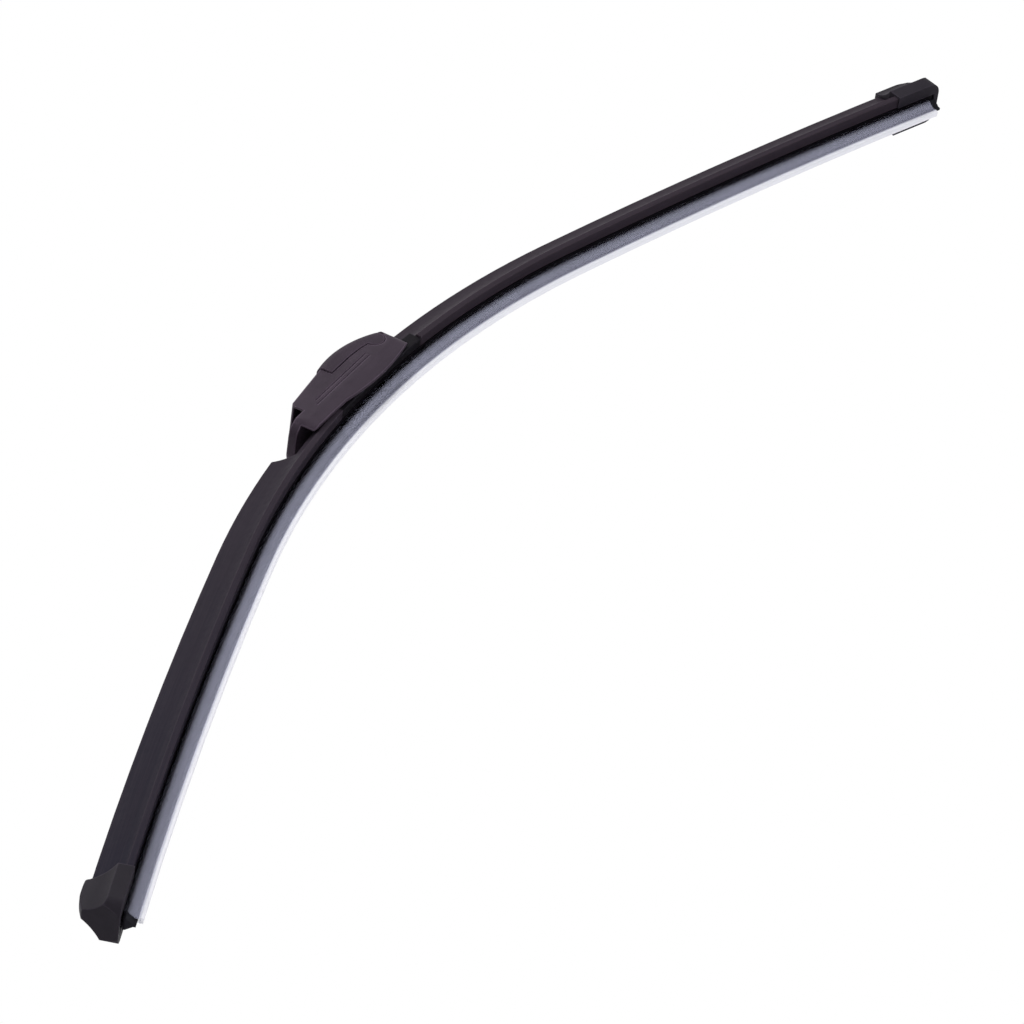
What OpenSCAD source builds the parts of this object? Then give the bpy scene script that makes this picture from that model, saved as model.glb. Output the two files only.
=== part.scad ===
/* [Blade] */
// Length of the blade along its bow, from cap end to cap end
blade_l = 600; // [500:5:700]
// Radius of the bow in the middle of the blade
bow_r = 390; // [340:5:440]
// Radius of the flatter bow towards both ends
outer_bow_r = 2500; // [1500:100:6000]

/* [Spring rails] */
// Width of one spring steel rail
rail_w = 4.6; // [4:0.1:4.8]
// Thickness of the spring steel rails
rail_t = 0.9; // [0.7:0.1:1.1]
// Distance by which the rails stop short of the blade's ends
rail_inset = 4; // [3:0.5:6]

/* [Rubber element] */
// Thickness of the rubber web between the two rails
web_t = 2.0; // [1.6:0.1:2.4]
// Width of the rubber head above the rails
head_w = 5.4; // [5:0.1:6]
// Height of the rubber head above the rails
head_h = 1.4; // [1.1:0.1:1.6]
// Width of the rubber shelf below the rails
shelf_w = 6.6; // [6:0.1:7]
// Height of the rubber shelf below the rails
shelf_h = 1.1; // [0.9:0.1:1.3]
// Thickness of the hinge neck that lets the lip flip over
neck_t = 1.0; // [0.8:0.1:1.2]
// Height of the hinge neck
neck_h = 0.9; // [0.8:0.1:1.2]
// Width of the wiping wedge at its shoulders
wedge_w = 4.6; // [4:0.1:5]
// Height of the square shoulders of the wedge
shoulder_h = 0.8; // [0.6:0.1:1]
// Height of the tapered part of the wedge
taper_h = 2.6; // [2:0.1:3]
// Thickness of the wiping lip
lip_t = 0.9; // [0.7:0.1:1]
// Height of the wiping lip below the taper
lip_h = 0.8; // [0.6:0.1:1.2]
// Distance by which the rubber stops short of the blade's ends
rubber_inset = 3; // [2.5:0.5:5]

/* [Lip cover] */
// Wall of the slip-on cover that protects the wiping lip
guard_wall = 0.55; // [0.4:0.05:0.7]
// Space left under the lip inside its cover
guard_drop = 0.9; // [0.6:0.1:1.4]
// Thickness of the closed bottom of the lip cover
guard_floor = 0.9; // [0.6:0.1:1.2]
// Thickness of the cover's beads that hook over the wedge's shoulders
guard_bead = 0.3; // [0.2:0.05:0.4]
// Distance by which the lip cover stops short of the blade's ends
guard_inset = 6; // [4:0.5:20]

/* [Spoiler] */
// Width of the spoiler across its feet
foot_w = 15.6; // [15:0.2:15.8]
// Height of the feet's outer edges
foot_h = 2.0; // [1.8:0.1:2.4]
// Height of the crest above the rails' middle
crest_z = 10.8; // [10:0.2:12]
// Width of the rounded crest
crest_w = 1.8; // [1.4:0.1:2.2]
// Radius of the hollow flanks
flank_r = 17; // [15:0.5:30]
// Thickness of the claws under the rails
claw_t = 0.9; // [0.8:0.1:1.2]
// Gap between the two rows of claws
claw_gap = 7.6; // [7.4:0.1:8]
// Thickness of the spoiler over the rubber head
roof_t = 1.0; // [0.8:0.1:1.2]
// Width of the hollow chamber inside the fin at its floor
chamber_w = 4.6; // [3:0.2:5]
// Width of the hollow chamber at its top
chamber_top_w = 1.0; // [0.6:0.1:1.4]
// Height of the hollow chamber inside the fin
chamber_h = 4.0; // [3:0.2:4.2]
// Height of the chamber's floor above the roof
chamber_lift = 0.4; // [0.2:0.1:0.6]
// Distance of the left fin's foot from the pivot, in front of the nose
left_fin_s = 52; // [51:0.5:60]
// Lean of the left fin's end, from its foot to its crest
fin_lean = 4; // [2:0.5:6]

/* [End caps] */
// Length of each end cap along the blade
cap_l = 21; // [18:0.5:28]
// Wall of the end caps beside the spoiler
cap_wall = 0.6; // [0.5:0.1:0.8]
// Lean of the cap's inner edge, from its side to its crest
cap_lean = 2.8; // [2:0.2:3.6]
// Radius of the cap's corners at its end, seen from above
cap_corner_r = 5; // [3:0.5:5]
// Thickness of the end wall of the caps
cap_end_t = 2.0; // [1.5:0.1:2.2]
// Height of the cap's straight side above the rails' middle
cap_side_z = 3.2; // [2.5:0.1:4]
// Rise of the cap's crowned crest above the spoiler's crest
cap_rise = 1.4; // [1.2:0.1:1.8]
// Radius of the cap's crowned crest, seen from the side
cap_crown_r = 24; // [22:0.5:30]
// Distance of the crown's highest point from the cap's inner edge
cap_peak = 7; // [6:0.5:8]
// Lean of the cap's closed end, from its bottom to its crest
cap_end_lean = 4.5; // [3.5:0.1:5]
// Distance by which the spoilers stop short of the blade's ends
spoiler_inset = 7; // [7:0.5:9]

/* [Connector] */
// Length of the connector base to the left of the pivot
base_left = 25; // [22:0.5:27]
// Length of the connector base to the right of the pivot
base_right = 28; // [26:0.5:30]
// Width of the connector base
base_w = 14.4; // [14:0.1:15]
// Thickness of the connector base over the rubber head
deck_t = 1.0; // [0.8:0.1:1.2]
// Height of the pivot above the rails' middle
pivot_h = 8.2; // [8.1:0.1:9]
// Diameter of the pivot pin
pin_d = 2.6; // [2.4:0.1:2.8]
// Thickness of the two lugs that carry the pin
lug_t = 1.4; // [1.2:0.1:1.5]
// Radius of the lugs round the pin
lug_r = 2.8; // [2.6:0.1:3]
// Spread of the lugs' feet on each side of the pin
lug_spread = 8; // [6:0.5:10]

/* [Arm adapter] */
// Length of the adapter from the pivot to its nose
nose_l = 44.5; // [43.5:0.5:46]
// Length of the adapter from the pivot to its tail
tail_l = 24.5; // [23.5:0.5:25]
// Outside width of the adapter
adapter_w = 19.0; // [18.8:0.1:19.6]
// Thickness of the adapter's side walls
cheek_t = 1.3; // [1.2:0.1:1.4]
// Height of the adapter's lower edge below the pivot
skirt_drop = 9.2; // [8.8:0.1:9.6]
// Height of the side walls' ridge below the pivot
ridge_drop = 4.4; // [4:0.1:5]
// Height of the side walls' arched tops above the pivot
cheek_top = 2.5; // [2.2:0.1:2.8]
// Radius of the side walls' arched tops
cheek_r = 60; // [50:1:80]
// Place of the highest point of the arched tops, left of the pivot
cheek_arch_x = 1; // [0:0.5:3]
// Extra depth of the side walls' lower edge at the pivot
belly_drop = 2.0; // [1.5:0.1:2.4]
// Radius of the side walls' lower edge under the pivot
belly_r = 110; // [90:5:130]
// Inward lean of the side walls above their ridge, in degrees
cheek_lean = 5; // [3:0.5:6]
// Radius of the nose's corners, seen from above
nose_r = 6; // [5:0.5:6]
// Radius of the tail's corners, seen from above
tail_r = 7; // [5:0.5:8]
// Width of the wiper arm's hook that the adapter takes
hook_w = 9; // [8.6:0.1:9.2]
// Thickness of the wiper arm's hook
hook_t = 3; // [2.6:0.1:3]
// Length of the recess under the hook, in front of the pivot
recess_l = 19; // [17:0.5:20]
// Diameter of the core that the hook wraps round
core_d = 4.6; // [4.4:0.1:4.8]
// Thickness of the nose's floor under the hook's mouth
floor_t = 1.4; // [1.2:0.1:1.5]
// Height of the mouth that the hook enters by
mouth_h = 5.8; // [5.6:0.1:6]
// Height of the nose's lip below the pivot
lip_drop = 0.6; // [0.4:0.1:1]
// Thickness of the nose's lip
nose_lip_t = 2.6; // [2.4:0.1:3]
// Thickness of the front bridge over the mouth
bridge_t = 1.2; // [1:0.1:1.4]
// Rise of the front bridge towards the cover
bridge_rise = 2.5; // [2:0.1:2.7]
// Distance of the front bridge's front edge from the pivot
bridge_front = 35; // [33.5:0.5:36]
// Number of grip ribs across the front bridge
rib_count = 4; // [3:1:5]
// Height of the grip ribs
rib_h = 0.5; // [0.3:0.1:0.7]
// Length of each grip rib across the bridge
rib_l = 13; // [10:0.5:14]
// Radius of the side walls' lower corners, seen from the side
skirt_round = 4.5; // [3:0.5:5]
// Number of long grooves in each side wall
groove_count = 2; // [1:1:2]
// Distance between the long grooves
groove_pitch = 1.6; // [1.4:0.1:1.8]
// Width of the long grooves
groove_w = 0.5; // [0.4:0.1:0.6]
// Depth of the long grooves
groove_depth = 0.25; // [0.15:0.05:0.3]
// Distance from the pivot to which the long grooves reach forward
groove_reach = 32; // [30:1:34]
// Distance from the pivot to which the long grooves reach back
groove_back = 6; // [2:0.5:7]
// Distance by which each groove is shorter than the one below it
groove_step = 2; // [0:0.5:3]
// Distance from the pivot to the back edge of the nose's floor
floor_back = 22; // [20:0.5:24]
// Thickness of the tail's cross floor
tail_floor_t = 1.4; // [1.2:0.1:1.5]
// Length of the core's bar, from the pivot
bar_l = 34; // [32:0.5:36]
// Length of the bar's level part, from the pivot
bar_knee = 9; // [8:0.5:12]
// Height of the bar at its front end
bar_h = 1.4; // [1.2:0.1:1.8]
// Width of the slits beside the bar's spring tongue
tongue_slit = 0.8; // [0.6:0.1:1]

/* [Flip cover] */
// Height of the cover's crest above the pivot
lid_top = 9.3; // [9:0.1:9.6]
// Radius of the cover's arch
lid_r = 46; // [44:0.5:48]
// Place of the arch's crest, left of the pivot
arch_x = 2.5; // [1:0.5:4]
// Radius of the cover's long shoulders
lid_edge_r = 3; // [2.4:0.1:3.4]
// Place of the cover's front edge, left of the pivot
lid_front = 11; // [10:0.5:12]
// Distance by which the cover's sides stand inside the adapter's width
lid_inset = 0.2; // [0.1:0.05:0.3]
// Wall of the cover
lid_t = 1.2; // [1:0.1:1.3]
// Diameter of the cover's hinge studs
stud_d = 1.8; // [1.6:0.1:2]
// Distance of the cover's hinge from the adapter's tail
hinge_back = 9; // [8.5:0.1:9.5]
// Radius of the cover's curl round its hinge
curl_r = 3.8; // [3.5:0.1:4]
// Room for the open cover between its curl and the tail hood
hood_gap = 0.8; // [0.6:0.1:1]
// Height of the tail hood's lower edge above the side walls' ridge
hood_lift = 0.4; // [0.3:0.1:0.6]
// Wall of the hinge ears round the studs
ear_wall = 0.7; // [0.5:0.1:0.8]
// Thickness of the hinge ears
ear_t = 1.2; // [1:0.1:1.4]
// Spread of the hinge ears' feet towards the tail
ear_spread = 2; // [1.5:0.1:2.5]

/* [Clearances] */
// Clearance of the rails in their grooves
rail_fit = 0.1; // [0.05:0.01:0.15]
// Clearance between the rubber head and what covers it
head_fit = 0.3; // [0.2:0.05:0.4]
// Clearance of the end caps over the spoiler
cap_fit = 0.1; // [0.05:0.01:0.15]
// Clearance of the lip cover round the wedge
guard_fit = 0.1; // [0.05:0.01:0.15]
// Gap between each spoiler's end and the connector base
spoiler_gap = 0.4; // [0.2:0.1:1]
// Clearance on each side of the arm's hook
hook_fit = 0.3; // [0.2:0.05:0.4]
// Side clearance of pieces that turn beside each other
run_fit = 0.3; // [0.2:0.05:0.35]
// Clearance of pins and studs in their running bores
bore_fit = 0.1; // [0.05:0.01:0.15]

/* [Hidden] */
arc_fn = 720;
round_fn = 64;
tiny = 0.01;
over = 1;
mid_lap = 4;

half_l = blade_l / 2;

// Where the two arcs meet, the bow falls by 7 in every 25, so its sine and cosine are round numbers
arc_turn = atan2(7, 24);
arc_s = bow_r * arc_turn * PI / 180;
outer_x = (bow_r - outer_bow_r) * sin(arc_turn);
outer_z = (bow_r - outer_bow_r) * cos(arc_turn) - bow_r - pivot_h;

// Heights in the blade's section, with zero at the middle of the rails
groove_z = rail_t / 2 + rail_fit;
claw_z = -groove_z - claw_t;
foot_z = claw_z + foot_h;
head_top = groove_z + head_h;
roof_z = head_top + head_fit;
low_z = roof_z + roof_t;
deck_z = roof_z + deck_t;
shelf_z = -groove_z - shelf_h;
wedge_z = shelf_z - neck_h;
shoulder_z = wedge_z - shoulder_h;
taper_z = shoulder_z - taper_h;
lip_z = taper_z - lip_h;
guard_in_z = lip_z - guard_drop;
guard_out_z = guard_in_z - guard_floor;

// Half widths in the blade's section
rail_y = web_t / 2 + rail_fit;
slot_y = rail_y + rail_w + rail_fit;
head_y = head_w / 2 + head_fit;
cap_y = foot_w / 2 + cap_fit + cap_wall;
spoiler_end_s = half_l - spoiler_inset;

// Half widths of the adapter and its joint
core_y = hook_w / 2;
hook_y = core_y + hook_fit;
lug_y = hook_y + lug_t;
boss_y = lug_y + run_fit;
wall_y = adapter_w / 2;
cheek_y = wall_y - cheek_t;
pin_y = cheek_y + cheek_t * 0.3;
ear_y = cheek_y - run_fit;
tongue_y = core_y / 2;
rib_y = rib_l / 2;

// Heights in the adapter, with zero at the pivot
floor_z = -core_d / 2;
bridge_z = floor_z + mouth_h + bridge_t;
recess_z = floor_z - hook_t - hook_fit;
ear_r = stud_d / 2 + ear_wall;
curl_y = ear_y - ear_t - run_fit;
curl_room = run_fit / 2;
cut_r = curl_r + run_fit;

// The cover's hinge lies on an arc inside the arch, so that its curl runs out of the arch
curl_sink = 0.15;
arch_z = lid_top - lid_r;
hinge_r = lid_r - curl_r - curl_sink;
lid_hinge_x = tail_l - hinge_back;
lid_hinge_z = arch_z + sqrt(hinge_r * hinge_r - pow(lid_hinge_x + arch_x, 2));
hinge_turn = asin((lid_hinge_x + arch_x) / hinge_r);
hood_over = 2;
tail_floor_z = floor_z - floor_t;

function bow_turn(s) = sign(s) * (min(abs(s), arc_s) / bow_r + max(abs(s) - arc_s, 0) / outer_bow_r)
    * 180 / PI;
function bow_x(s) = abs(s) < arc_s ? bow_r * sin(bow_turn(s))
    : sign(s) * (outer_x + outer_bow_r * sin(abs(bow_turn(s))));
function bow_z(s) = abs(s) < arc_s ? bow_r * (cos(bow_turn(s)) - 1) - pivot_h
    : outer_z + outer_bow_r * cos(bow_turn(s));

// Puts its children at a place along the blade, square to the bow
module along(s) {
    translate([bow_x(s), 0, bow_z(s)]) rotate([0, bow_turn(s), 0]) children();
}

// Turns a section that is drawn in width and height to face along the blade
module upright() {
    rotate([90, 0, 90]) children();
}

// Sweeps a section round an axis that lies across the blade
module arc_sweep(x, z, r, from, to) {
    translate([x, 0, z]) rotate([90, 0, 0]) rotate([0, 0, 90 - to])
        rotate_extrude(angle = to - from, $fn = arc_fn)
            translate([r, 0]) rotate(-90) children();
}

// Sweeps a section along a stretch of the bow on one side of the middle
module half_sweep(from, to) {
    union() {
        arc_sweep(0, -bow_r - pivot_h, bow_r, bow_turn(from), bow_turn(min(to, arc_s))) children();
        if (to > arc_s) mirror([1, 0, 0])
            arc_sweep(-outer_x, outer_z, outer_bow_r, -bow_turn(to), -arc_turn) children();
    }
}

// Sweeps a section along a stretch of the bow that passes the middle
module bow_sweep(from, to) {
    if (max(-from, to) < arc_s) {
        arc_sweep(0, -bow_r - pivot_h, bow_r, bow_turn(from), bow_turn(to)) children();
    } else {
        mirror([1, 0, 0]) half_sweep(-mid_lap, -from) children();
        half_sweep(-mid_lap, to) children();
    }
}

module both_sides() {
    children();
    mirror([1, 0]) children();
}

// Mirrors a solid across the middle plane of the blade
module near_and_far() {
    children();
    mirror([0, 1, 0]) children();
}

function arc_centre(p, q, r) = let (d = q - p, l = norm(d))
    (p + q) / 2 + [d[1], -d[0]] / l * sqrt(r * r - l * l / 4);

// Outline of the feet and the hollow-flanked fin, grown by a margin
module fin_outline(side_y, side_z, base_z, grow, radius, rise = 0) {
    crest_y = crest_w / 2 + grow;
    crest_c = crest_z - crest_w / 2 + rise;
    side = [side_y, side_z];
    top = [crest_y, crest_c];
    difference() {
        polygon([[-side_y, base_z], [side_y, base_z], side, top, [-crest_y, crest_c], [-side_y, side_z]]);
        both_sides() translate(arc_centre(side, top, radius)) circle(r = radius, $fn = 240);
    }
    translate([0, crest_c]) circle(r = crest_y, $fn = round_fn);
}

// Space for the rails, the rubber's head and its web, open below
module rail_space() {
    translate([-slot_y, -groove_z]) square([2 * slot_y, 2 * groove_z]);
    translate([-head_y, 0]) square([2 * head_y, roof_z]);
    translate([-claw_gap / 2, claw_z - over]) square([claw_gap, over - claw_z]);
}

// Hollow inside the fin, above the roof over the rubber's head
module chamber() {
    floor = low_z + chamber_lift;
    polygon([[-chamber_w / 2, floor], [chamber_w / 2, floor],
        [chamber_top_w / 2, floor + chamber_h], [-chamber_top_w / 2, floor + chamber_h]]);
}

module spoiler_section() {
    difference() {
        fin_outline(foot_w / 2, foot_z, claw_z, 0, flank_r);
        rail_space();
        chamber();
    }
}

module spoiler_left() {
    color("#25242d") mirror([1, 0, 0]) difference() {
        half_sweep(base_left + spoiler_gap, spoiler_end_s) spoiler_section();
        fin_end_cut();
    }
}

// Clears the fin beside the nose and leaves its end leaning away from it
module fin_end_cut() {
    rise = crest_z - low_z;
    intersection() {
        half_sweep(0, left_fin_s + 2 * fin_lean) translate([-foot_w, low_z]) square([2 * foot_w, 2 * rise]);
        along(left_fin_s) side_block(-foot_w, foot_w)
            polygon([[-fin_lean, low_z - rise], [-left_fin_s, low_z - rise],
                [-left_fin_s, low_z + 2 * rise], [2 * fin_lean, low_z + 2 * rise]]);
    }
}

module spoiler_right() {
    color("#3c323e") half_sweep(base_right + spoiler_gap, spoiler_end_s) spoiler_section();
}

module rail_section() {
    translate([rail_y, -rail_t / 2]) square([rail_w, rail_t]);
}

module rail_near() {
    color("#8d9096") bow_sweep(-half_l + rail_inset, half_l - rail_inset) mirror([1, 0]) rail_section();
}

module rail_far() {
    color("#8d9096") bow_sweep(-half_l + rail_inset, half_l - rail_inset) rail_section();
}

// Half outline points of the rubber, from its head down to its lip
function rubber_half() = [
    [head_w / 2, head_top], [head_w / 2, groove_z], [web_t / 2, groove_z], [web_t / 2, -groove_z],
    [shelf_w / 2, -groove_z], [shelf_w / 2, shelf_z], [neck_t / 2, shelf_z], [neck_t / 2, wedge_z],
    [wedge_w / 2, wedge_z], [wedge_w / 2, shoulder_z], [lip_t / 2, taper_z], [lip_t / 2, lip_z]];

function flipped(points) = [for (i = [len(points) - 1:-1:0]) [-points[i][0], points[i][1]]];

module wiper_rubber() {
    color("#17141a") bow_sweep(-half_l + rubber_inset, half_l - rubber_inset)
        polygon(concat(rubber_half(), flipped(rubber_half())));
}

// Half outline of the lip cover: its inside, its bead and its outside
module guard_section() {
    bead_z = wedge_z + guard_fit;
    bead_top = bead_z + guard_bead;
    in_y = wedge_w / 2 + guard_fit;
    low_y = lip_t / 2 + guard_fit;
    half = [
        [low_y, guard_in_z], [low_y, taper_z], [in_y, shoulder_z], [in_y, bead_z],
        [in_y - guard_bead * 2, bead_z], [in_y - guard_bead * 2, bead_top],
        [in_y + guard_wall, bead_top], [in_y + guard_wall, shoulder_z],
        [low_y + guard_wall, taper_z], [low_y + guard_wall, guard_out_z]];
    polygon(concat(half, flipped(half)));
}

module lip_cover() {
    color("#a6a8b4") bow_sweep(-half_l + guard_inset, half_l - guard_inset) guard_section();
}

// Side view of a cap, set in by a margin: leaning ends under a crowned crest
module cap_side(wall, inner_x, end_x) {
    low = claw_z - cap_fit - cap_wall;
    top = crest_z + cap_fit + cap_wall + cap_rise;
    intersection() {
        polygon([[inner_x, low], [end_x, low], [end_x - cap_end_lean, top], [inner_x + cap_lean, top],
            [inner_x, cap_side_z]]);
        translate([cap_peak, top - cap_crown_r]) circle(r = cap_crown_r - wall, $fn = 240);
    }
}

// Plan view of a cap with rounded corners at its closed end
module cap_plan(end_x, y, r) {
    translate([-cap_lean, -y]) square([end_x - r + cap_lean, 2 * y]);
    translate([-cap_lean, r - y]) square([end_x + cap_lean, 2 * (y - r)]);
    for (side = [-1, 1]) translate([end_x - r, side * (y - r)]) circle(r = r, $fn = round_fn);
}

module upright_plan(end_x, y, r) {
    top = crest_z + cap_fit + cap_wall + cap_rise;
    translate([0, 0, -top]) linear_extrude(2 * top) cap_plan(end_x, y, r);
}

module cap_outside() {
    bottom_z = claw_z - cap_fit - cap_wall;
    grow = cap_fit + cap_wall;
    intersection() {
        upright() linear_extrude(cap_l)
            fin_outline(cap_y, cap_side_z, bottom_z, grow, flank_r - grow, cap_rise);
        side_block(-cap_y, cap_y) cap_side(0, 0, cap_l);
        upright_plan(cap_l, cap_y, cap_corner_r);
    }
}

// The hollow that takes the spoiler's end, the rails and the rubber
module cap_inside() {
    depth = cap_l - cap_end_t;
    inside_y = foot_w / 2 + cap_fit;
    intersection() {
        translate([-over, 0, 0]) upright() linear_extrude(depth + over)
            fin_outline(inside_y, foot_z + cap_fit, claw_z - cap_fit, cap_fit, flank_r - cap_fit);
        side_block(-cap_y, cap_y) cap_side(cap_wall, -cap_lean - over, depth);
        upright_plan(depth, inside_y, cap_corner_r - cap_wall);
    }
}

// An end cap that starts at its open inner end and runs to its closed end
module end_cap() {
    bottom_z = claw_z - cap_fit - cap_wall;
    difference() {
        cap_outside();
        cap_inside();
        translate([-over, -claw_gap / 2, bottom_z - over])
            cube([cap_l - cap_end_t + over, claw_gap, claw_z + claw_t - bottom_z + over]);
    }
}

module end_cap_right() {
    color("#3a3638") along(half_l - cap_l) end_cap();
}

module end_cap_left() {
    color("#3a3638") along(-half_l + cap_l) mirror([1, 0, 0]) end_cap();
}

// The base's deck and claws hold both rails between the two spoilers
module base_section() {
    difference() {
        translate([-base_w / 2, claw_z]) square([base_w, deck_z - claw_z]);
        rail_space();
    }
}

module lug() {
    foot = deck_z - pivot_h - deck_t / 2;
    translate([0, lug_y, 0]) rotate([90, 0, 0]) linear_extrude(lug_t) union() {
        circle(r = lug_r, $fn = round_fn);
        polygon([[-lug_spread, foot], [lug_spread, foot], [lug_r, 0], [-lug_r, 0]]);
    }
}

module connector_base() {
    color("#1c1a20") difference() {
        union() {
            bow_sweep(-base_left, base_right) base_section();
            near_and_far() lug();
        }
        across(pin_d, lug_y + over);
        translate([-recess_l, -hook_y, recess_z])
            cube([recess_l + core_d / 2 + hook_t + hook_fit, 2 * hook_y, core_d]);
    }
}

// A round bar or bore across the blade, through the pivot
module across(d, y) {
    rotate([90, 0, 0]) cylinder(h = 2 * y, d = d, center = true, $fn = round_fn);
}

module pivot_pin() {
    color("#9a9ca2") across(pin_d, pin_y);
}

// Outline of the adapter seen from above
module plan_outline() {
    union() {
        translate([-nose_l + nose_r, -wall_y]) square([nose_l + tail_l - nose_r - tail_r, adapter_w]);
        translate([-nose_l, -wall_y + nose_r]) square([nose_l + tail_l, adapter_w - 2 * nose_r]);
        translate([-nose_l, -wall_y + tail_r]) square([nose_l + tail_l, adapter_w - 2 * tail_r]);
        for (y = [-1, 1]) {
            translate([-nose_l + nose_r, y * (wall_y - nose_r)]) circle(r = nose_r, $fn = round_fn);
            translate([tail_l - tail_r, y * (wall_y - tail_r)]) circle(r = tail_r, $fn = round_fn);
        }
    }
}

module plan_block() {
    low = -skirt_drop - belly_drop - over;
    translate([0, 0, low]) linear_extrude(lid_top + over - low) plan_outline();
}

// Rounded section of the cover and the tail hood, with zero at its crest
module hood_outline(y, depth, r) {
    translate([-y, -depth]) square([2 * y, depth - r]);
    translate([-y + r, -depth]) square([2 * (y - r), depth]);
    for (side = [-1, 1]) translate([side * (y - r), -r]) circle(r = r, $fn = round_fn);
}

module hood_section(depth) {
    difference() {
        hood_outline(wall_y - lid_inset, depth, lid_edge_r);
        translate([0, -lid_t]) hood_outline(cheek_y, depth, lid_edge_r - lid_t + lid_inset);
    }
}

// The arched shell that the cover and the tail hood are both cut from
module hood_shell() {
    front_turn = asin((lid_front - arch_x + hood_over) / lid_r);
    tail_turn = asin((tail_l + arch_x + hood_over) / lid_r);
    arc_sweep(-arch_x, arch_z, lid_r, -front_turn, tail_turn) hood_section(lid_top + ridge_drop);
}

// Extrudes a side view across the adapter
module side_block(y0, y1) {
    translate([0, y1, 0]) rotate([90, 0, 0]) linear_extrude(y1 - y0) children();
}

// Side view of the housing under its arch, with the nose's step
module cheek_side() {
    intersection() {
        union() {
            translate([-nose_l, -skirt_drop]) square([nose_l + tail_l, skirt_drop - lip_drop]);
            skirt_belly();
            polygon([[-bridge_front, -ridge_drop], [-bridge_front, bridge_z - bridge_t],
                [-bridge_front + bridge_t, bridge_z], [-lid_front, bridge_z + bridge_rise],
                [-lid_front, -ridge_drop]]);
            translate([-lid_front, -ridge_drop]) square([lid_front - cheek_arch_x, ridge_drop + cheek_top]);
            intersection() {
                translate([-cheek_arch_x, -skirt_drop]) square([tail_l + cheek_arch_x, skirt_drop + cheek_top]);
                translate([-cheek_arch_x, cheek_top - cheek_r]) circle(r = cheek_r, $fn = arc_fn);
            }
            tail_side();
        }
        difference() {
            skirt_corners();
            translate([lid_hinge_x, lid_hinge_z]) circle(r = cut_r, $fn = round_fn);
        }
    }
}

// The part of the side view behind the cover's hinge, under the arch
module tail_side() {
    intersection() {
        translate([lid_hinge_x, -skirt_drop]) square([tail_l - lid_hinge_x, skirt_drop + lid_top]);
        translate([-arch_x, arch_z]) circle(r = lid_r - lid_edge_r, $fn = arc_fn);
    }
}

// The bulge of the side view's lower edge
module skirt_belly() {
    intersection() {
        translate([-nose_l, -skirt_drop - belly_drop]) square([nose_l + tail_l, belly_drop + tiny]);
        translate([0, belly_r - skirt_drop - belly_drop]) circle(r = belly_r, $fn = arc_fn);
    }
}

// Rounds the side view's lower corners at the nose and the tail
module skirt_corners() {
    low = -skirt_drop - belly_drop;
    union() {
        translate([-nose_l + skirt_round, low]) square([nose_l + tail_l - 2 * skirt_round, lid_top - low]);
        translate([-nose_l, -skirt_drop + skirt_round]) square([nose_l + tail_l, skirt_drop + lid_top]);
        for (x = [-nose_l + skirt_round, tail_l - skirt_round])
            translate([x, -skirt_drop + skirt_round]) circle(r = skirt_round, $fn = round_fn);
    }
}

// One side wall, leaning in above its ridge, with two long grooves
module cheek() {
    difference() {
        side_block(cheek_y, wall_y) cheek_side();
        translate([-nose_l - over, wall_y, -ridge_drop]) rotate([cheek_lean, 0, 0])
            cube([nose_l + tail_l + 2 * over, cheek_t, lid_top + ridge_drop]);
        for (i = [1:groove_count]) {
            reach = groove_reach - i * groove_step;
            z = -ridge_drop + i * groove_pitch;
            y = wall_y - (z + ridge_drop) * tan(cheek_lean) - groove_depth;
            translate([-reach, y, z]) cube([reach + groove_back, cheek_t, groove_w]);
        }
    }
}

module boss() {
    translate([0, cheek_y + tiny, 0]) rotate([90, 0, 0])
        cylinder(h = cheek_y - boss_y + tiny, r = lug_r, $fn = round_fn);
}

// Ear beside the hood that carries one stud of the cover
module ear() {
    root_z = tail_floor_z + tail_floor_t;
    side_block(ear_y - ear_t, ear_y) union() {
        translate([lid_hinge_x, lid_hinge_z]) circle(r = ear_r, $fn = round_fn);
        polygon([[lid_hinge_x - ear_r, lid_hinge_z], [lid_hinge_x + ear_r, lid_hinge_z],
            [lid_hinge_x + ear_r + ear_spread, root_z - tiny], [lid_hinge_x - ear_r, root_z - tiny]]);
    }
}

module adapter_housing() {
    front = -nose_l - over;
    floor_l = nose_l + over - floor_back;
    color("#423a44") difference() {
        union() {
            intersection() {
                union() {
                    near_and_far() cheek();
                    side_block(-cheek_y - tiny, cheek_y + tiny) union() {
                        translate([front, floor_z - floor_t]) square([floor_l, floor_t]);
                        translate([front, floor_z - floor_t]) square([nose_lip_t + over, floor_t - floor_z - lip_drop]);
                        polygon([[-bridge_front, bridge_z - bridge_t], [-bridge_front + bridge_t, bridge_z],
                            [-lid_front, bridge_z + bridge_rise],
                            [-lid_front, bridge_z + bridge_rise - bridge_t],
                            [-bridge_front + bridge_t, bridge_z - bridge_t]]);
                        translate([lid_hinge_x + cut_r, tail_floor_z])
                            square([hinge_back - cut_r, tail_floor_t]);
                    }
                    side_block(-ear_y, ear_y) translate([lid_hinge_x - ear_r, tail_floor_z])
                        square([hinge_back + ear_r, tail_floor_t]);
                    tail_hood();
                }
                plan_block();
            }
            near_and_far() boss();
            near_and_far() ear();
            grip_ribs();
        }
        across(pin_d + 2 * bore_fit, pin_y + bore_fit);
        translate([lid_hinge_x, 0, lid_hinge_z]) across(stud_d + 2 * bore_fit, ear_y + tiny);
        translate([lid_hinge_x - ear_r - over, -curl_y - curl_room, lid_hinge_z - curl_r])
            cube([ear_r + over + cut_r, 2 * (curl_y + curl_room), curl_r]);
    }
}

// Fixed end of the arch, clear of the cover's curl and of the open cover
module tail_hood() {
    hood_x = lid_hinge_x + cut_r + hood_gap;
    intersection() {
        hood_shell();
        translate([hood_x, -wall_y, hood_lift - ridge_drop])
            cube([tail_l, adapter_w, lid_top + ridge_drop]);
    }
}

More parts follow.
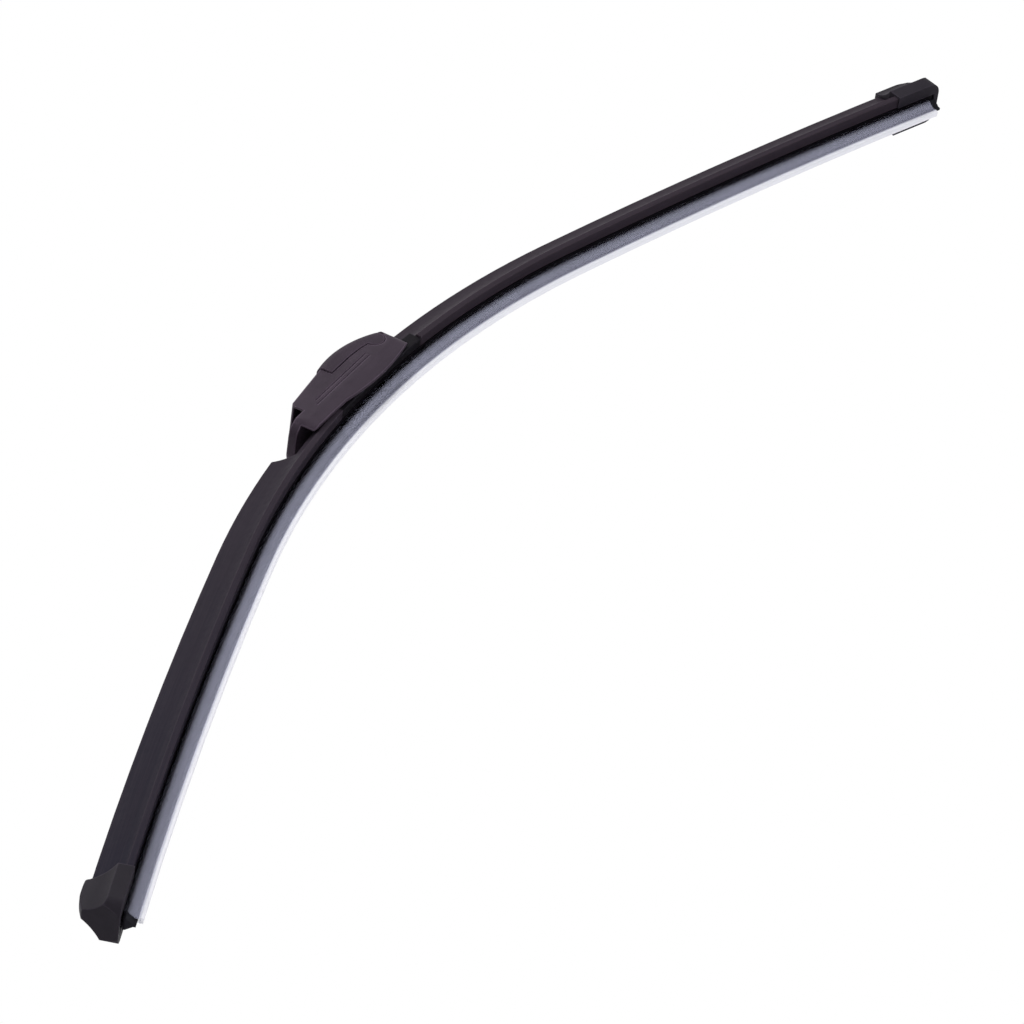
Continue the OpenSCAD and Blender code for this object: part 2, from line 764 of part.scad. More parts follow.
module grip_ribs() {
    slope = atan(bridge_rise / (bridge_front - bridge_t - lid_front));
    pitch = (bridge_front - bridge_t - lid_front) / (rib_count + 2);
    for (i = [1:rib_count])
        translate([-bridge_front + bridge_t + i * pitch, 0, bridge_z + i * pitch * tan(slope)])
            across(2 * rib_h, rib_y);
}

// Core that the arm's hook wraps round, with the bar that ends on the nose's floor
module hook_core() {
    bar_z = floor_z + bar_h;
    color("#2c2730") difference() {
        union() {
            across(core_d, core_y);
            side_block(-core_y, core_y) polygon([[0, floor_z], [0, -floor_z], [-bar_knee, -floor_z],
                [-bar_l, bar_z], [-bar_l, floor_z]]);
        }
        across(pin_d + 2 * bore_fit, core_y + over);
        for (y = [-1, 1])
            translate([-bar_l - over, y * tongue_y - tongue_slit / 2, floor_z - over])
                cube([bar_l - bar_knee, tongue_slit, core_d + 2 * over]);
    }
}

// Side view of the cover in front of its hinge
module lid_side() {
    front = -lid_front + run_fit;
    hinge = [lid_hinge_x, lid_hinge_z];
    difference() {
        polygon([[front, -ridge_drop], [lid_hinge_x, -ridge_drop], hinge,
            hinge + 2 * curl_r * [sin(hinge_turn), cos(hinge_turn)], [lid_hinge_x, lid_top + over],
            [front, lid_top + over]]);
        translate([-lid_front, -ridge_drop - over])
            square([lid_front - cheek_arch_x, ridge_drop + over + cheek_top + run_fit]);
        translate([-cheek_arch_x, cheek_top - cheek_r]) circle(r = cheek_r + run_fit, $fn = arc_fn);
    }
}

module curl_side() {
    translate([lid_hinge_x, lid_hinge_z]) circle(r = curl_r, $fn = round_fn);
}

// Flip cover with its arched top, side skirts, hinge curl and two studs
module adapter_cover() {
    stud_in = ear_y - ear_t;
    color("#463c47") union() {
        intersection() {
            hood_shell();
            plan_block();
            union() {
                side_block(-wall_y, wall_y) lid_side();
                near_and_far() side_block(cheek_y - tiny, wall_y) curl_side();
                side_block(-curl_y, curl_y) curl_side();
            }
        }
        near_and_far() translate([lid_hinge_x, cheek_y + tiny, lid_hinge_z]) rotate([90, 0, 0])
            cylinder(h = cheek_y - stud_in, d = stud_d, $fn = round_fn);
    }
}

spoiler_left();
spoiler_right();
rail_near();
rail_far();
wiper_rubber();
lip_cover();
end_cap_left();
end_cap_right();
connector_base();
pivot_pin();
adapter_housing();
hook_core();
adapter_cover();
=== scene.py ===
"""Looks of a bowed flat wiper blade with its arm adapter and flip cover.

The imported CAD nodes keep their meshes. Each gets a procedural finish, in a plain pale studio.
Lengths are in metres, and the scales of noise and spots are per metre.
"""

import math

import bmesh
import bpy
from mathutils import Matrix, Vector


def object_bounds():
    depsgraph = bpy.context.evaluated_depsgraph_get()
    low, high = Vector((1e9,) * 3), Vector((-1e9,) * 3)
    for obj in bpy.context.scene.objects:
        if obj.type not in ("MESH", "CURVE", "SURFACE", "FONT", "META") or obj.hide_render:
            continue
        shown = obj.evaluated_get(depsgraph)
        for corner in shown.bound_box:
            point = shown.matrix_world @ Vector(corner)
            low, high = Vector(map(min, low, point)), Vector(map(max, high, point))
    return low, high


bl_info = {
    "name": "Flat wiper blade looks",
    "version": (1, 0, 0),
    "blender": (4, 5, 0),
    "location": "3D View > Sidebar > Wiper",
    "description": "Finishes, camera and stage of a flat wiper blade on its packed frame",
    "category": "Object",
}

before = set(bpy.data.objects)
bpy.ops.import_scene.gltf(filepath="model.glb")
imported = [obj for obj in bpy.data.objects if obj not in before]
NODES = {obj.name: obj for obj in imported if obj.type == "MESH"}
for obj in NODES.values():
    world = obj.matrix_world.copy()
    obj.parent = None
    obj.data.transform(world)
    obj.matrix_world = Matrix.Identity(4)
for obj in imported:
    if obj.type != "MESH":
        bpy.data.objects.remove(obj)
CAD_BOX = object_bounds()

# The bow that the blade is swept on: a tight middle arc, with a flatter arc on each side
PIVOT_H = 0.0082  # height of the pivot, which is the frame's origin, over the bow's top
BOW_R = 0.390
OUTER_R = 2.5
TURN_SIN, TURN_COS = 0.28, 0.96  # of half the angle that the middle arc turns through
JOIN_X = BOW_R * TURN_SIN  # where the arcs meet
OUTER_X = (BOW_R - OUTER_R) * TURN_SIN  # centre of the right outer arc; the left one mirrors it
OUTER_Z = (BOW_R - OUTER_R) * TURN_COS - BOW_R - PIVOT_H

# Where a finish starts and ends its change: as heights above the bow. The crest and foot spans mark
# where the spoilers are painted lighter, partly dust and partly painted highlight
CREST = (0.0097, 0.0107)  # bloom on the spoiler's crest
COAT = (-0.0026, -0.0036)  # sliding coat on the rubber's wedge
WALL = (-0.0028, -0.0050)  # lip cover, from its clear top to its milky wall
FOLD = (-0.0069, -0.0080)  # lip cover, towards its whiter folded edge
FOOT = (0.0068, 0.0078)  # bloom on the spoiler's feet, out from the blade's middle plane
COOL_REACH = (-0.28, 0.02)  # along the blade, from the cool left end to the plain tone

NOISE_RANGE = (0.3, 0.7)  # most values of a noise lie between these
EDGE_TURN = (0.998, 0.93)  # dot product of flat and rounded normal, from no edge to a full one
EDGE_SAMPLES = 8
LINE_STRETCH = 0.012  # scale along the blade that draws a pattern out into lines
GRAIN_SCALE = 2600.0  # pits of the moulded plastic
FLOW_STRETCH = (0.25, 1.0, 1.0)  # scale per axis: flow marks along the blade
ROLLED = (6.0, 900.0, 900.0)  # scale per axis: rolling lines along the blade
TURNED = (500.0, 4000.0, 500.0)  # scale per axis: rings round the pin

SENSOR = 36.0  # width in millimetres
CLIP = (0.05, 50.0)  # nearest and farthest that the camera sees
LAMP_AIM = (0, 0, -0.04)  # the point under the pivot that every lamp faces
LAMPS = (  # name, place, diameter
    ("key", (0.7, -1.15, 1.2), 1.5),
    ("side", (-1.35, -1.15, 0.35), 1.2),
    ("back", (-0.4, 1.5, 0.9), 1.3),
)


def srgb(r, g, b):
    """A colour of 0 to 255 steps as linear values."""
    def line(v):
        v /= 255
        return v / 12.92 if v <= 0.04045 else ((v + 0.055) / 1.055) ** 2.4
    return (line(r), line(g), line(b))


def shade(colour, factor):
    """A colour made darker or lighter."""
    return tuple(min(1.0, c * factor) for c in colour)


class Nodes:
    """A small writer for one node tree."""

    def __init__(self, tree):
        self.tree = tree
        self.tree.nodes.clear()

    def add(self, kind, **values):
        node = self.tree.nodes.new(kind)
        for key, value in values.items():
            setattr(node, key, value)
        return node

    def link(self, source, socket):
        self.tree.links.new(source, socket)

    def plug(self, socket, value):
        if isinstance(value, bpy.types.NodeSocket):
            self.link(value, socket)
        else:
            socket.default_value = value

    def calc(self, operation, *values):
        node = self.add("ShaderNodeMath", operation=operation)
        for socket, value in zip(node.inputs, values):
            self.plug(socket, value)
        return node.outputs[0]

    def length(self, a, b):
        """The length of a line that goes a along one axis and b along another."""
        squares = (self.calc("MULTIPLY", a, a), self.calc("MULTIPLY", b, b))
        return self.calc("SQRT", self.calc("ADD", *squares))

    def white(self, kind, strength):
        """A white emission or background."""
        node = self.add(kind)
        node.inputs["Color"].default_value = (1, 1, 1, 1)
        node.inputs["Strength"].default_value = strength
        return node.outputs[0]

    def choose(self, share, first, second):
        """The first shader where the share is 0, and the second where it is 1."""
        node = self.add("ShaderNodeMixShader")
        for socket, value in zip(node.inputs, (share, first, second)):
            self.link(value, socket)
        return node.outputs[0]


class Finish(Nodes):
    """The node tree of one material, with its pattern on the place in the object."""

    SOCKETS = {
        "colour": "Base Color", "rough": "Roughness", "metal": "Metallic",
        "normal": "Normal", "alpha": "Alpha", "gloss": "Specular IOR Level",
    }

    def __init__(self, name):
        self.mat = bpy.data.materials.new(name)
        self.mat.use_nodes = True
        super().__init__(self.mat.node_tree)
        self.out = self.add("ShaderNodeOutputMaterial")
        self.shader = self.add("ShaderNodeBsdfPrincipled")
        self.link(self.shader.outputs["BSDF"], self.out.inputs["Surface"])
        self.place = self.add("ShaderNodeTexCoord").outputs["Object"]

    def axes(self):
        node = self.add("ShaderNodeSeparateXYZ")
        self.link(self.place, node.inputs[0])
        return node.outputs

    def vector(self, x, y, z):
        node = self.add("ShaderNodeCombineXYZ")
        for socket, value in zip(node.inputs, (x, y, z)):
            self.plug(socket, value)
        return node.outputs[0]

    def scaled(self, scale):
        node = self.add("ShaderNodeMapping")
        node.inputs["Scale"].default_value = scale
        self.link(self.place, node.inputs["Vector"])
        return node.outputs[0]

    def noise(self, scale, vector=None, detail=4.0, rough=0.55):
        node = self.add("ShaderNodeTexNoise")
        node.inputs["Scale"].default_value = scale
        node.inputs["Detail"].default_value = detail
        node.inputs["Roughness"].default_value = rough
        self.link(vector or self.place, node.inputs["Vector"])
        return node.outputs["Fac"]

    def spots(self, scale):
        node = self.add("ShaderNodeTexVoronoi", feature="F1")
        node.inputs["Scale"].default_value = scale
        self.link(self.place, node.inputs["Vector"])
        return node.outputs["Distance"]

    def span(self, value, low, high, to_low=0.0, to_high=1.0, kind="LINEAR"):
        """The value's stretch from low to high laid out from to_low to to_high."""
        node = self.add("ShaderNodeMapRange", interpolation_type=kind)
        self.link(value, node.inputs[0])
        for socket, number in zip(node.inputs[1:5], (low, high, to_low, to_high)):
            socket.default_value = number
        return node.outputs[0]

    def step(self, value, low, high, to_low=0.0, to_high=1.0):
        """A span with soft ends."""
        return self.span(value, low, high, to_low, to_high, "SMOOTHSTEP")

    def spread(self, noise, to_low=0.0, to_high=1.0):
        """A noise laid out from to_low to to_high."""
        return self.span(noise, *NOISE_RANGE, to_low, to_high)

    def blend(self, share, first, second):
        """A mix of two colours, all of the second where the share is 1."""
        node = self.add("ShaderNodeMix", data_type="RGBA", blend_type="MIX")
        self.link(share, node.inputs[0])
        for socket, value in ((node.inputs[6], first), (node.inputs[7], second)):
            self.plug(socket, (*value, 1.0) if isinstance(value, tuple) else value)
        return node.outputs[2]

    def soft_edges(self, radius):
        """A normal that rounds sharp edges, and a mask that is 1 along those edges."""
        rounded = self.add("ShaderNodeBevel", samples=EDGE_SAMPLES)
        rounded.inputs["Radius"].default_value = radius
        flat = self.add("ShaderNodeNewGeometry").outputs["Normal"]
        alike = self.add("ShaderNodeVectorMath", operation="DOT_PRODUCT")
        self.link(rounded.outputs[0], alike.inputs[0])
        self.link(flat, alike.inputs[1])
        return rounded.outputs[0], self.step(alike.outputs["Value"], *EDGE_TURN)

    def bump(self, height, strength, depth, normal=None):
        node = self.add("ShaderNodeBump")
        node.inputs["Strength"].default_value = strength
        node.inputs["Distance"].default_value = depth
        self.link(height, node.inputs["Height"])
        if normal is not None:
            self.link(normal, node.inputs["Normal"])
        return node.outputs[0]

    def set(self, **values):
        for key, value in values.items():
            self.plug(self.shader.inputs[self.SOCKETS[key]], value)


class SweptFinish(Finish):
    """A finish that follows the bow, with the fine lines that an extruder's die leaves along it."""

    def __init__(self, name, fine, coarse):
        super().__init__(name)
        x, y, z = self.axes()
        side = self.calc("ABSOLUTE", x)
        middle = self.length(x, self.calc("ADD", z, BOW_R + PIVOT_H))
        outer = self.length(self.calc("SUBTRACT", side, OUTER_X), self.calc("SUBTRACT", z, OUTER_Z))
        low = self.calc("SUBTRACT", middle, BOW_R)
        high = self.calc("SUBTRACT", outer, OUTER_R)
        outside = self.calc("GREATER_THAN", side, JOIN_X)
        change = self.calc("MULTIPLY", outside, self.calc("SUBTRACT", high, low))
        self.along, self.across = x, y
        self.height = self.calc("ADD", low, change)
        line = self.vector(self.calc("MULTIPLY", x, LINE_STRETCH), y, self.height)
        self.fine = self.noise(fine, line, detail=2.0)
        self.coarse = self.noise(coarse, line, detail=3.0)


class FinishColours(bpy.types.PropertyGroup):
    spoiler: bpy.props.FloatVectorProperty(
        name="Spoiler rubber", description="Colour of the two spoilers' soft rubber",
        subtype="COLOR", size=3, min=0, max=1, default=srgb(45, 39, 46))
    spoiler_cool: bpy.props.FloatVectorProperty(
        name="Spoiler rubber, cool end",
        description="Cooler tone of the same rubber at the blade's left end",
        subtype="COLOR", size=3, min=0, max=1, default=srgb(33, 32, 42))
    # Lighter grey for the spoilers' crest, feet and edges: partly dust, partly painted highlight
    spoiler_bloom_and_highlight: bpy.props.FloatVectorProperty(
        name="Spoiler bloom", description="Colour of the grey bloom on the spoilers' edges",
        subtype="COLOR", size=3, min=0, max=1, default=srgb(68, 60, 67))
    rubber: bpy.props.FloatVectorProperty(
        name="Wiping rubber", description="Colour of the rubber element that wipes the glass",
        subtype="COLOR", size=3, min=0, max=1, default=srgb(14, 12, 17))
    rubber_coat: bpy.props.FloatVectorProperty(
        name="Sliding coat", description="Colour of the greyish coat on the rubber's wedge",
        subtype="COLOR", size=3, min=0, max=1, default=srgb(52, 52, 58))
    lip_cover: bpy.props.FloatVectorProperty(
        name="Lip cover", description="Colour of the milky cover over the wiping lip",
        subtype="COLOR", size=3, min=0, max=1, default=srgb(206, 208, 232))
    lip_fold: bpy.props.FloatVectorProperty(
        name="Lip cover's fold", description="Colour of the lip cover's whiter folded edge",
        subtype="COLOR", size=3, min=0, max=1, default=srgb(240, 240, 246))
    adapter: bpy.props.FloatVectorProperty(
        name="Adapter plastic", description="Colour of the arm adapter and its flip cover",
        subtype="COLOR", size=3, min=0, max=1, default=srgb(55, 47, 56))
    core: bpy.props.FloatVectorProperty(
        name="Core plastic", description="Colour of the core that the arm's hook wraps round",
        subtype="COLOR", size=3, min=0, max=1, default=srgb(38, 34, 40))
    base: bpy.props.FloatVectorProperty(
        name="Connector plastic", description="Colour of the connector base over the rails",
        subtype="COLOR", size=3, min=0, max=1, default=srgb(20, 18, 22))
    caps: bpy.props.FloatVectorProperty(
        name="End cap plastic", description="Colour of the two end caps",
        subtype="COLOR", size=3, min=0, max=1, default=srgb(38, 35, 41))
    steel: bpy.props.FloatVectorProperty(
        name="Spring steel", description="Colour of the two spring rails and the pin",
        subtype="COLOR", size=3, min=0, max=1, default=srgb(150, 152, 158))


class FinishSizes(bpy.types.PropertyGroup):
    spoiler_edge: bpy.props.FloatProperty(
        name="Spoiler edge", description="Radius that softens the spoilers' edges",
        unit="LENGTH", min=0, default=0.0004)
    adapter_edge: bpy.props.FloatProperty(
        name="Adapter edge", description="Radius that softens the adapter's and flip cover's edges",
        unit="LENGTH", min=0, default=0.0009)
    cap_edge: bpy.props.FloatProperty(
        name="Cap edge", description="Radius that softens the end caps' and connector's edges",
        unit="LENGTH", min=0, default=0.0006)
    grain_depth: bpy.props.FloatProperty(
        name="Grain depth", description="Depth of the fine grain on the moulded plastic",
        unit="LENGTH", min=0, default=0.00005)


class CameraPlace(bpy.types.PropertyGroup):
    azimuth: bpy.props.FloatProperty(
        name="Azimuth", description="Bearing of the camera round the blade",
        subtype="ANGLE", default=math.radians(-49.848))
    elevation: bpy.props.FloatProperty(
        name="Elevation", description="Height angle of the camera; it looks up from below the bow",
        subtype="ANGLE", default=math.radians(-18.899))
    roll: bpy.props.FloatProperty(
        name="Roll", description="Turn of the camera round its own line of sight",
        subtype="ANGLE", default=math.radians(-66.268))
    distance: bpy.props.FloatProperty(
        name="Distance", description="Distance from the camera to the point that it looks at",
        subtype="DISTANCE", unit="LENGTH", default=2.16441)
    target: bpy.props.FloatVectorProperty(
        name="Target", description="Point that the camera looks at",
        subtype="TRANSLATION", unit="LENGTH", size=3, default=(-0.02933, 0.0, -0.08035))
    lens: bpy.props.FloatProperty(
        name="Lens", description="Focal length of the camera",
        unit="CAMERA", min=10, default=225.147)


class StageValues(bpy.types.PropertyGroup):
    floor_gap: bpy.props.FloatProperty(
        name="Floor gap",
        description="Room under the blade at rest, so that its ends stay clear when it tilts",
        unit="LENGTH", default=0.0205)
    floor_size: bpy.props.FloatProperty(
        name="Floor size", description="Length of the floor's side", unit="LENGTH", default=6.0)
    floor_near: bpy.props.FloatProperty(
        name="Floor fade start",
        description="Distance from the blade's middle at which the floor starts to fade",
        unit="LENGTH", default=0.4)
    floor_far: bpy.props.FloatProperty(
        name="Floor fade end",
        description="Distance at which the floor has become the white background",
        unit="LENGTH", default=1.0)
    fill: bpy.props.FloatProperty(
        name="Fill", description="Strength of the even light from all sides", min=0, default=0.44)
    key: bpy.props.FloatProperty(
        name="Key", description="Power of the large soft lamp above the blade",
        unit="POWER", min=0, default=28.0)
    side: bpy.props.FloatProperty(
        name="Side", description="Power of the soft lamp beside the camera",
        unit="POWER", min=0, default=4.5)
    back: bpy.props.FloatProperty(
        name="Back", description="Power of the soft lamp behind the blade",
        unit="POWER", min=0, default=12.0)


def spoiler_finish(colour, cool, bloom_and_highlight, edge):
    """Soft extruded rubber, cooler at its left end, painted lighter on its crest, feet and edges:
    partly dust, partly painted highlight.
    """
    f = SweptFinish("spoiler_finish", fine=2600.0, coarse=900.0)
    soft, edges = f.soft_edges(edge)
    # Crest, feet and edges are painted towards a lighter grey: partly patchy dust, partly painted
    # highlight where the light catches them
    crest = f.calc("MULTIPLY", f.step(f.height, *CREST), 0.8)
    foot = f.calc("MULTIPLY", f.step(f.calc("ABSOLUTE", f.across), *FOOT), 0.4)
    patchy = f.span(f.coarse, 0.35, 0.62, 0.25, 0.8)
    dust_and_highlight = f.calc("MULTIPLY", f.calc("MAXIMUM", crest, foot), patchy)
    wear_and_highlight = f.calc("MAXIMUM", f.calc("MULTIPLY", dust_and_highlight, 0.5), f.calc("MULTIPLY", edges, 0.7))
    tone = f.blend(f.span(f.along, *COOL_REACH), cool, colour)
    mottle = f.spread(f.noise(34.0, detail=5.0, rough=0.6), 0.0, 0.14)
    mottled = f.blend(mottle, tone, shade(colour, 0.5))
    lined = f.blend(f.span(f.fine, 0.35, 0.65, 0.0, 0.28), mottled, shade(colour, 1.4))
    sheen = f.spread(f.noise(420.0, detail=3.0), 0.36, 0.48)
    normal = f.bump(f.fine, strength=0.35, depth=0.00005, normal=soft)
    normal = f.bump(f.coarse, strength=0.15, depth=0.00006, normal=normal)
    pores = f.noise(3800.0, detail=2.0)
    normal = f.bump(pores, strength=0.15, depth=0.00003, normal=normal)
    f.set(colour=f.blend(wear_and_highlight, lined, bloom_and_highlight), rough=sheen, gloss=0.010, normal=normal)
    return f.mat


def rubber_finish(colour, coat):
    """Dense wiping rubber with a greyish sliding coat on its wedge."""
    f = SweptFinish("wiping_rubber_finish", fine=2400.0, coarse=900.0)
    bare = f.blend(f.spread(f.coarse), shade(colour, 0.8), shade(colour, 1.2))
    coated = f.calc("MULTIPLY", f.step(f.height, *COAT, 0.0, 0.5),
                    f.spread(f.noise(160.0), 0.4, 1.0))
    f.set(colour=f.blend(coated, bare, coat), rough=f.spread(f.fine, 0.5, 0.66), gloss=0.03,
          normal=f.bump(f.fine, strength=0.06, depth=0.00002))
    return f.mat


def lip_cover_finish(colour, fold_colour):
    """Thin milky plastic: clearer round the wedge, whiter at its folded edge."""
    f = SweptFinish("lip_cover_finish", fine=1500.0, coarse=420.0)
    cloud = f.noise(46.0)
    fold = f.step(f.height, *FOLD)
    tint = f.blend(f.spread(cloud), shade(colour, 0.9), shade(colour, 1.06))
    lined = f.blend(f.span(f.fine, 0.4, 0.6, 0.0, 0.2), tint, shade(colour, 0.85))
    milk = f.calc("MULTIPLY", f.step(f.height, *WALL, 0.06, 1.0), f.spread(f.coarse, 0.20, 0.27))
    cover = f.calc("ADD", milk, f.calc("MULTIPLY", fold, 0.66))
    f.set(colour=f.blend(fold, lined, fold_colour), alpha=cover, gloss=0.12,
          rough=f.spread(cloud, 0.28, 0.42), normal=f.bump(cloud, strength=0.25, depth=0.0004))
    return f.mat


def moulded_finish(name, colour, edge, depth, rough=(0.44, 0.56), streaks=0.2):
    """Moulded plastic with a fine spark-eroded grain whose pits are painted darker as painted
    shade, slight flow marks, and edges painted lighter, partly rubbed wear and partly painted
    highlight.
    """
    f = Finish(name)
    mottle = f.noise(70.0, detail=5.0, rough=0.6)
    flow = f.noise(260.0, f.scaled(FLOW_STRETCH), detail=3.0)
    pits = f.spots(GRAIN_SCALE)
    fine = f.noise(GRAIN_SCALE * 1.4, detail=3.0)
    soft, edges = f.soft_edges(edge)
    base = f.blend(f.spread(mottle), shade(colour, 0.88), shade(colour, 1.12))
    streaked = f.blend(f.span(flow, 0.45, 0.72, 0.0, streaks), base, shade(colour, 1.5))
    # The grain's pits are painted darker: painted shade in their hollows
    pit_shaded = f.blend(f.span(pits, 0.1, 0.6, 0.16, 0.0), streaked, shade(colour, 0.6))
    # Edges painted much lighter: partly rubbed wear, partly painted highlight
    wear_and_highlight = f.calc("MULTIPLY", edges, f.spread(flow, 0.6, 1.0))
    normal = f.bump(pits, strength=0.30, depth=depth, normal=soft)
    normal = f.bump(fine, strength=0.22, depth=depth * 0.7, normal=normal)
    f.set(colour=f.blend(wear_and_highlight, pit_shaded, shade(colour, 2.4)), rough=f.spread(fine, *rough),
          gloss=0.03, normal=normal)
    return f.mat


def steel_finish(name, colour, stretch):
    """Spring steel or a turned pin, with the fine lines that its making leaves."""
    f = Finish(name)
    lines = f.noise(2.2, f.scaled(stretch), rough=0.6)
    blotches = f.span(f.noise(90.0), 0.35, 0.7)
    f.set(colour=f.blend(blotches, colour, shade(colour, 0.72)), metal=1.0,
          rough=f.spread(lines, 0.26, 0.44), normal=f.bump(lines, strength=0.2, depth=0.00003))
    return f.mat


def dress(names, finish):
    """Gives one finish to CAD nodes."""
    for name in names:
        slots = NODES[name].data.materials
        slots.clear()
        slots.append(finish)


class WIPER_OT_spoilers(bpy.types.Operator):
    """Finish the two extruded rubber spoilers"""
    bl_idname = "wiper.spoilers"
    bl_label = "Spoilers"

    def execute(self, context):
        colours = context.scene.wiper_colours
        dress(["spoiler_left", "spoiler_right"],
              spoiler_finish(tuple(colours.spoiler), tuple(colours.spoiler_cool),
                             tuple(colours.spoiler_bloom_and_highlight), context.scene.wiper_finish.spoiler_edge))
        return {"FINISHED"}


class WIPER_OT_rubber(bpy.types.Operator):
    """Finish the rubber element that wipes the glass"""
    bl_idname = "wiper.rubber"
    bl_label = "Wiping rubber"

    def execute(self, context):
        colours = context.scene.wiper_colours
        dress(["wiper_rubber"], rubber_finish(tuple(colours.rubber), tuple(colours.rubber_coat)))
        return {"FINISHED"}


class WIPER_OT_lip_cover(bpy.types.Operator):
    """Finish the milky cover over the wiping lip"""
    bl_idname = "wiper.lip_cover"
    bl_label = "Lip cover"

    def execute(self, context):
        colours = context.scene.wiper_colours
        dress(["lip_cover"], lip_cover_finish(tuple(colours.lip_cover), tuple(colours.lip_fold)))
        return {"FINISHED"}


class WIPER_OT_rails(bpy.types.Operator):
    """Finish the two spring steel rails and the pivot pin"""
    bl_idname = "wiper.rails"
    bl_label = "Rails and pin"

    def execute(self, context):
        steel = tuple(context.scene.wiper_colours.steel)
        dress(["rail_near", "rail_far"], steel_finish("rolled_steel", steel, ROLLED))
        dress(["pivot_pin"], steel_finish("turned_steel", steel, TURNED))
        return {"FINISHED"}


class WIPER_OT_end_caps(bpy.types.Operator):
    """Finish the two moulded end caps"""
    bl_idname = "wiper.end_caps"
    bl_label = "End caps"

    def execute(self, context):
        sizes = context.scene.wiper_finish
        dress(["end_cap_left", "end_cap_right"],
              moulded_finish("cap_finish", tuple(context.scene.wiper_colours.caps),
                             sizes.cap_edge, sizes.grain_depth))
        return {"FINISHED"}


class WIPER_OT_connector(bpy.types.Operator):
    """Finish the connector base that holds both rails"""
    bl_idname = "wiper.connector"
    bl_label = "Connector base"

    def execute(self, context):
        sizes = context.scene.wiper_finish
        dress(["connector_base"],
              moulded_finish("connector_finish", tuple(context.scene.wiper_colours.base),
                             sizes.cap_edge, sizes.grain_depth, rough=(0.42, 0.54)))
        return {"FINISHED"}


class WIPER_OT_adapter(bpy.types.Operator):
    """Finish the arm adapter, its flip cover and the hook's core"""
    bl_idname = "wiper.adapter"
    bl_label = "Arm adapter"

    def execute(self, context):
        colours, sizes = context.scene.wiper_colours, context.scene.wiper_finish
        edge, depth = sizes.adapter_edge, sizes.grain_depth
        dress(["adapter_housing"],
              moulded_finish("adapter_finish", tuple(colours.adapter), edge, depth, streaks=0.28))
        dress(["adapter_cover"],
              moulded_finish("flip_cover_finish", shade(colours.adapter, 0.9), edge, depth))
        dress(["hook_core"],
              moulded_finish("core_finish", tuple(colours.core), edge / 2, depth, rough=(0.4, 0.5)))
        return {"FINISHED"}


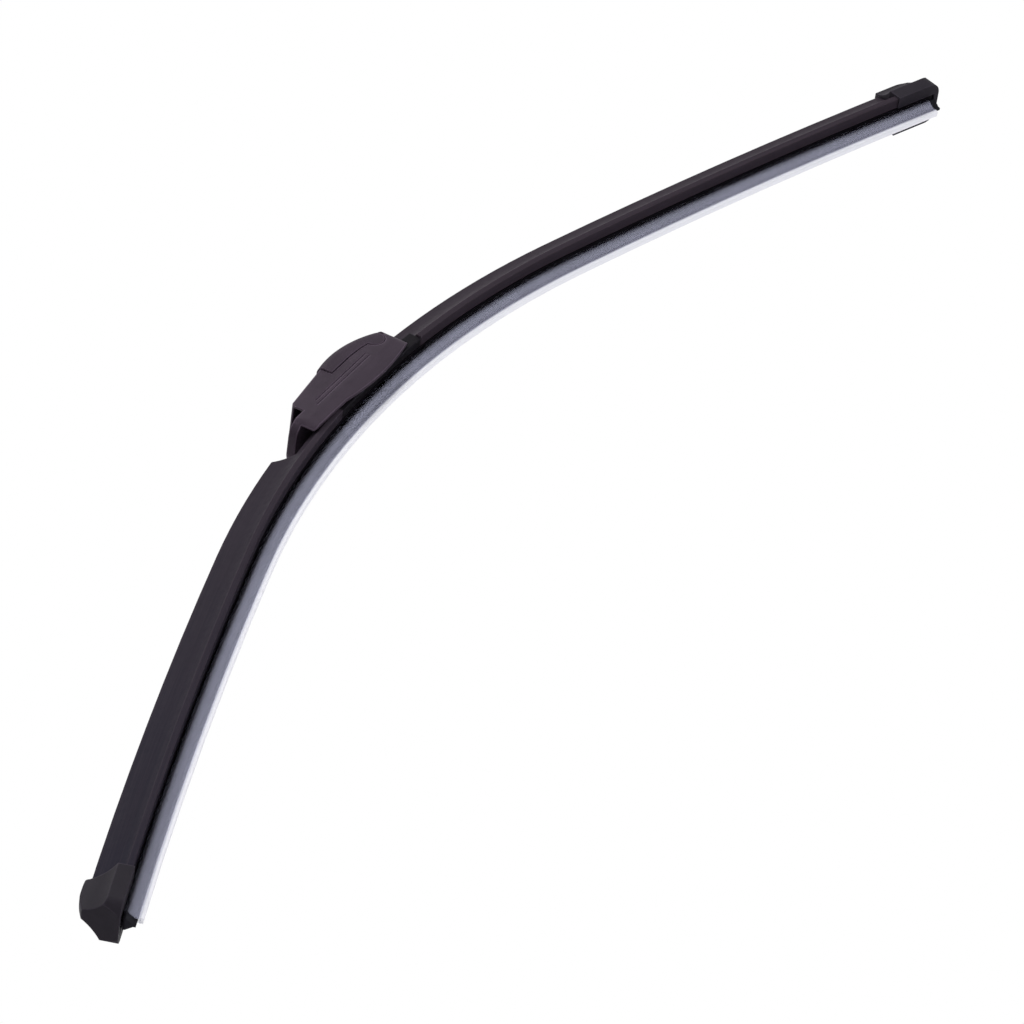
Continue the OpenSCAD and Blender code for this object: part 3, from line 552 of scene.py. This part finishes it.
class WIPER_OT_stage(bpy.types.Operator):
    """Set the camera, the pale floor and the soft studio light"""
    bl_idname = "wiper.stage"
    bl_label = "Stage"

    def execute(self, context):
        scene = context.scene
        scene.view_settings.view_transform = "Standard"
        self.camera(scene)
        self.floor(scene)
        self.lamps(scene)
        self.world(scene)
        return {"FINISHED"}

    def camera(self, scene):
        place = scene.wiper_camera
        az, el, roll = place.azimuth, place.elevation, place.roll
        back = Vector((math.sin(az) * math.cos(el), -math.cos(az) * math.cos(el), math.sin(el)))
        right = (-back).cross(Vector((0, 0, 1))).normalized()
        up = right.cross(-back)
        side = right * math.cos(roll) + up * math.sin(roll)
        top = up * math.cos(roll) - right * math.sin(roll)
        data = bpy.data.cameras.new("camera")
        data.lens = place.lens
        data.sensor_width = SENSOR
        data.clip_start, data.clip_end = CLIP
        cam = bpy.data.objects.new("camera", data)
        scene.collection.objects.link(cam)
        turn = Matrix((side, top, back)).transposed().to_4x4()
        cam.matrix_world = Matrix.Translation(Vector(place.target) + back * place.distance) @ turn
        scene.camera = cam

    def floor(self, scene):
        sizes = scene.wiper_stage
        mesh = bpy.data.meshes.new("floor")
        bm = bmesh.new()
        bmesh.ops.create_grid(bm, x_segments=2, y_segments=2, size=sizes.floor_size / 2)
        bmesh.ops.translate(bm, verts=bm.verts, vec=(0, 0, CAD_BOX[0].z - sizes.floor_gap))
        bm.to_mesh(mesh)
        bm.free()
        floor = bpy.data.objects.new("floor", mesh)
        scene.collection.objects.link(floor)
        mesh.materials.append(self.floor_paint(sizes))

    def floor_paint(self, sizes):
        """Pale paint that the camera sees run out into the white, and sees through from below."""
        f = Finish("floor_paint")
        pale, paler = srgb(238, 238, 240), srgb(243, 243, 244)
        f.set(colour=f.blend(f.spread(f.noise(3.0)), pale, paler), rough=0.7, gloss=0.2)
        x, y, _ = f.axes()
        fade = f.step(f.length(x, y), sizes.floor_near, sizes.floor_far)
        seen = f.add("ShaderNodeLightPath").outputs["Is Camera Ray"]
        paint = f.choose(f.calc("MULTIPLY", fade, seen), f.shader.outputs["BSDF"],
                         f.white("ShaderNodeEmission", 1.0))
        below = f.add("ShaderNodeNewGeometry").outputs["Backfacing"]
        clear = f.add("ShaderNodeBsdfTransparent").outputs[0]
        f.link(f.choose(below, paint, clear), f.out.inputs["Surface"])
        return f.mat

    def lamps(self, scene):
        for name, spot, size in LAMPS:
            data = bpy.data.lights.new(name, "AREA")
            data.shape = "DISK"
            data.size = size
            data.energy = getattr(scene.wiper_stage, name)
            lamp = bpy.data.objects.new(name, data)
            scene.collection.objects.link(lamp)
            lamp.location = spot
            lamp.rotation_mode = "QUATERNION"
            lamp.rotation_quaternion = (Vector(LAMP_AIM) - Vector(spot)).to_track_quat("-Z", "Y")

    def world(self, scene):
        """Even fill light, which the camera, gloss and clear plastic see as plain white."""
        world = bpy.data.worlds.new("studio")
        world.use_nodes = True
        scene.world = world
        w = Nodes(world.node_tree)
        path = w.add("ShaderNodeLightPath").outputs
        seen = w.calc("MAXIMUM", path["Is Camera Ray"], path["Is Glossy Ray"])
        seen = w.calc("MAXIMUM", seen, path["Is Transmission Ray"])
        fill = w.white("ShaderNodeBackground", scene.wiper_stage.fill)
        white = w.white("ShaderNodeBackground", 1.0)
        out = w.add("ShaderNodeOutputWorld")
        w.link(w.choose(seen, fill, white), out.inputs["Surface"])


PIECES = (
    WIPER_OT_spoilers, WIPER_OT_rubber, WIPER_OT_lip_cover, WIPER_OT_rails, WIPER_OT_end_caps,
    WIPER_OT_connector, WIPER_OT_adapter, WIPER_OT_stage,
)


class WIPER_PT_pieces(bpy.types.Panel):
    """Each piece's button, and the sizes and colours that it uses"""
    bl_idname = "WIPER_PT_pieces"
    bl_label = "Wiper blade"
    bl_space_type = "VIEW_3D"
    bl_region_type = "UI"
    bl_category = "Wiper"

    def draw(self, context):
        for piece in PIECES:
            self.layout.operator(piece.bl_idname)
        scene = context.scene
        groups = (scene.wiper_colours, scene.wiper_finish, scene.wiper_camera, scene.wiper_stage)
        for group in groups:
            box = self.layout.box()
            for key in group.__annotations__:
                box.prop(group, key)


CLASSES = (FinishColours, FinishSizes, CameraPlace, StageValues, *PIECES, WIPER_PT_pieces)


def register():
    for kind in CLASSES:
        bpy.utils.register_class(kind)
    bpy.types.Scene.wiper_colours = bpy.props.PointerProperty(type=FinishColours)
    bpy.types.Scene.wiper_finish = bpy.props.PointerProperty(type=FinishSizes)
    bpy.types.Scene.wiper_camera = bpy.props.PointerProperty(type=CameraPlace)
    bpy.types.Scene.wiper_stage = bpy.props.PointerProperty(type=StageValues)


def unregister():
    del bpy.types.Scene.wiper_stage
    del bpy.types.Scene.wiper_camera
    del bpy.types.Scene.wiper_finish
    del bpy.types.Scene.wiper_colours
    for kind in reversed(CLASSES):
        bpy.utils.unregister_class(kind)


def main():
    register()
    for piece in PIECES:
        group, name = piece.bl_idname.split(".")
        getattr(getattr(bpy.ops, group), name)()


if __name__ == "__main__":
    main()
